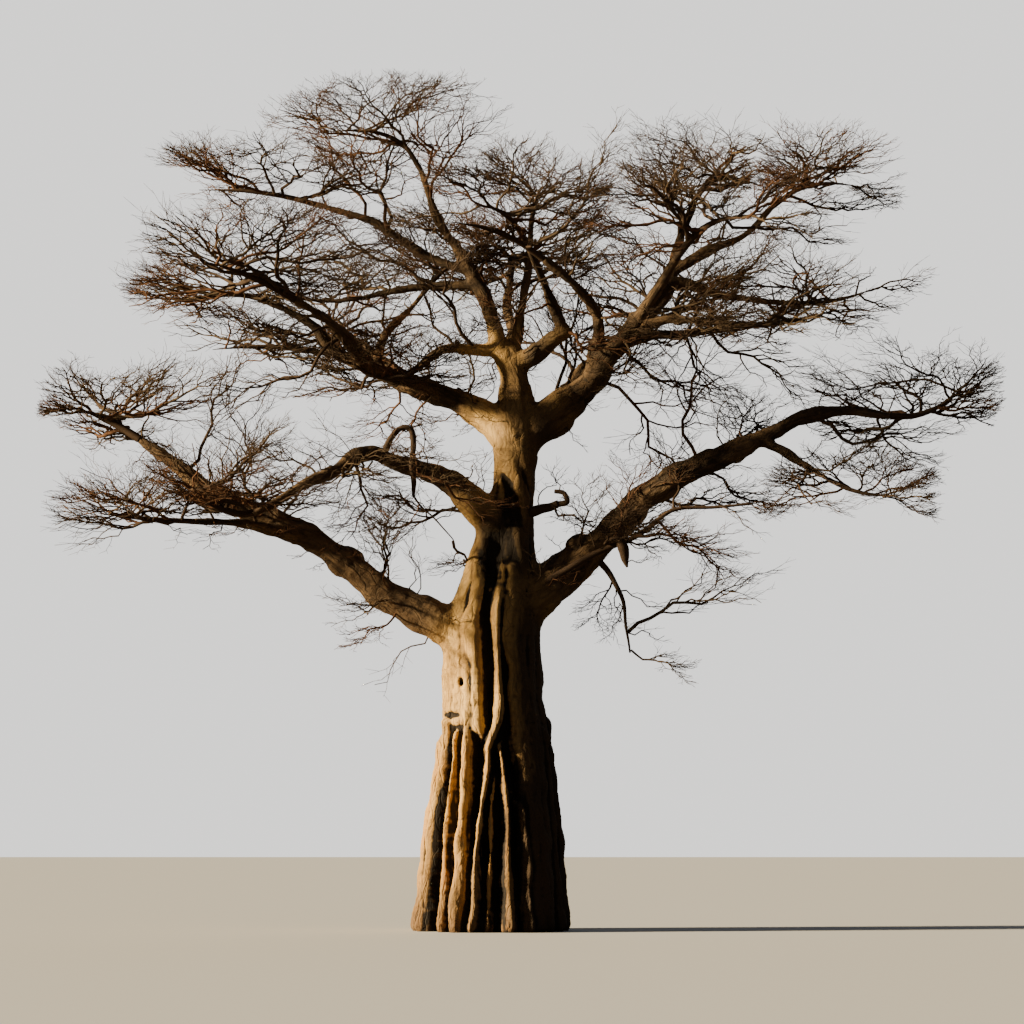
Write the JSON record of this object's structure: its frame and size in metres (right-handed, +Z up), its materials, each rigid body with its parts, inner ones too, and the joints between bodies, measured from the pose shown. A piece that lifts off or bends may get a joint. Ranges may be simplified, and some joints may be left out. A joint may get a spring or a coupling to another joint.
{
  "type": "baobab tree",
  "caption": "Bare baobab tree in its dry season: a stout flared trunk of fused columns, rising tapered boughs and a broad open crown of leafless twigs.",
  "frame": {"origin": "centre of the trunk's flat cut at ground level", "axes": "+Z up, +X to the right and +Y away from the viewer in the view that the tree was measured in; -Z is the outward normal of the flat cut"},
  "size_m": [20.4049, 14.4237, 17.8405],
  "materials": {
    "trunk_bark": "rough",
    "bough_bark": "rough",
    "twig_bark": "rough"
  },
  "bodies": {
    "root": {"trunk": "trunk_bark", "low_left_bough": "bough_bark", "low_left_outer": "bough_bark", "low_left_side": "bough_bark", "middle_left_bough": "bough_bark", "middle_left_outer": "bough_bark", "upper_left_bough": "bough_bark", "upper_left_outer": "bough_bark", "upper_left_riser": "bough_bark", "leader_left": "bough_bark", "leader_left_branch": "bough_bark", "leader_left_low": "bough_bark", "short_left_bough": "bough_bark", "leader_right": "bough_bark", "leader_right_return": "bough_bark", "thin_upright": "bough_bark", "great_right_bough": "bough_bark", "great_right_low": "bough_bark", "great_right_riser": "bough_bark", "great_right_upper": "bough_bark", "great_right_droop": "bough_bark", "crossing_bough": "bough_bark", "low_right_bough": "bough_bark", "low_right_outer": "bough_bark", "low_right_side": "bough_bark", "hooked_stub": "bough_bark", "hanging_branch": "bough_bark", "back_left_bough": "bough_bark", "back_left_side": "bough_bark", "back_right_bough": "bough_bark", "back_right_side": "bough_bark", "front_left_bough": "bough_bark", "front_right_bough": "bough_bark", "back_upper_bough": "bough_bark", "hooked_stub_tip": "bough_bark", "low_left_outer_twigs": "twig_bark", "low_left_side_twigs": "twig_bark", "middle_left_outer_twigs": "twig_bark", "upper_left_outer_twigs": "twig_bark", "upper_left_riser_twigs": "twig_bark", "leader_left_twigs": "twig_bark", "leader_left_branch_twigs": "twig_bark", "leader_left_low_twigs": "twig_bark", "short_left_twigs": "twig_bark", "leader_right_return_twigs": "twig_bark", "thin_upright_twigs": "twig_bark", "great_right_low_twigs": "twig_bark", "great_right_riser_twigs": "twig_bark", "great_right_upper_twigs": "twig_bark", "great_right_droop_twigs": "twig_bark", "crossing_twigs": "twig_bark", "low_right_outer_twigs": "twig_bark", "low_right_side_twigs": "twig_bark", "back_left_twigs": "twig_bark", "back_left_side_twigs": "twig_bark", "back_right_twigs": "twig_bark", "back_right_side_twigs": "twig_bark", "front_left_twigs": "twig_bark", "front_right_twigs": "twig_bark", "back_upper_twigs": "twig_bark"}
  },
  "joints": []
}
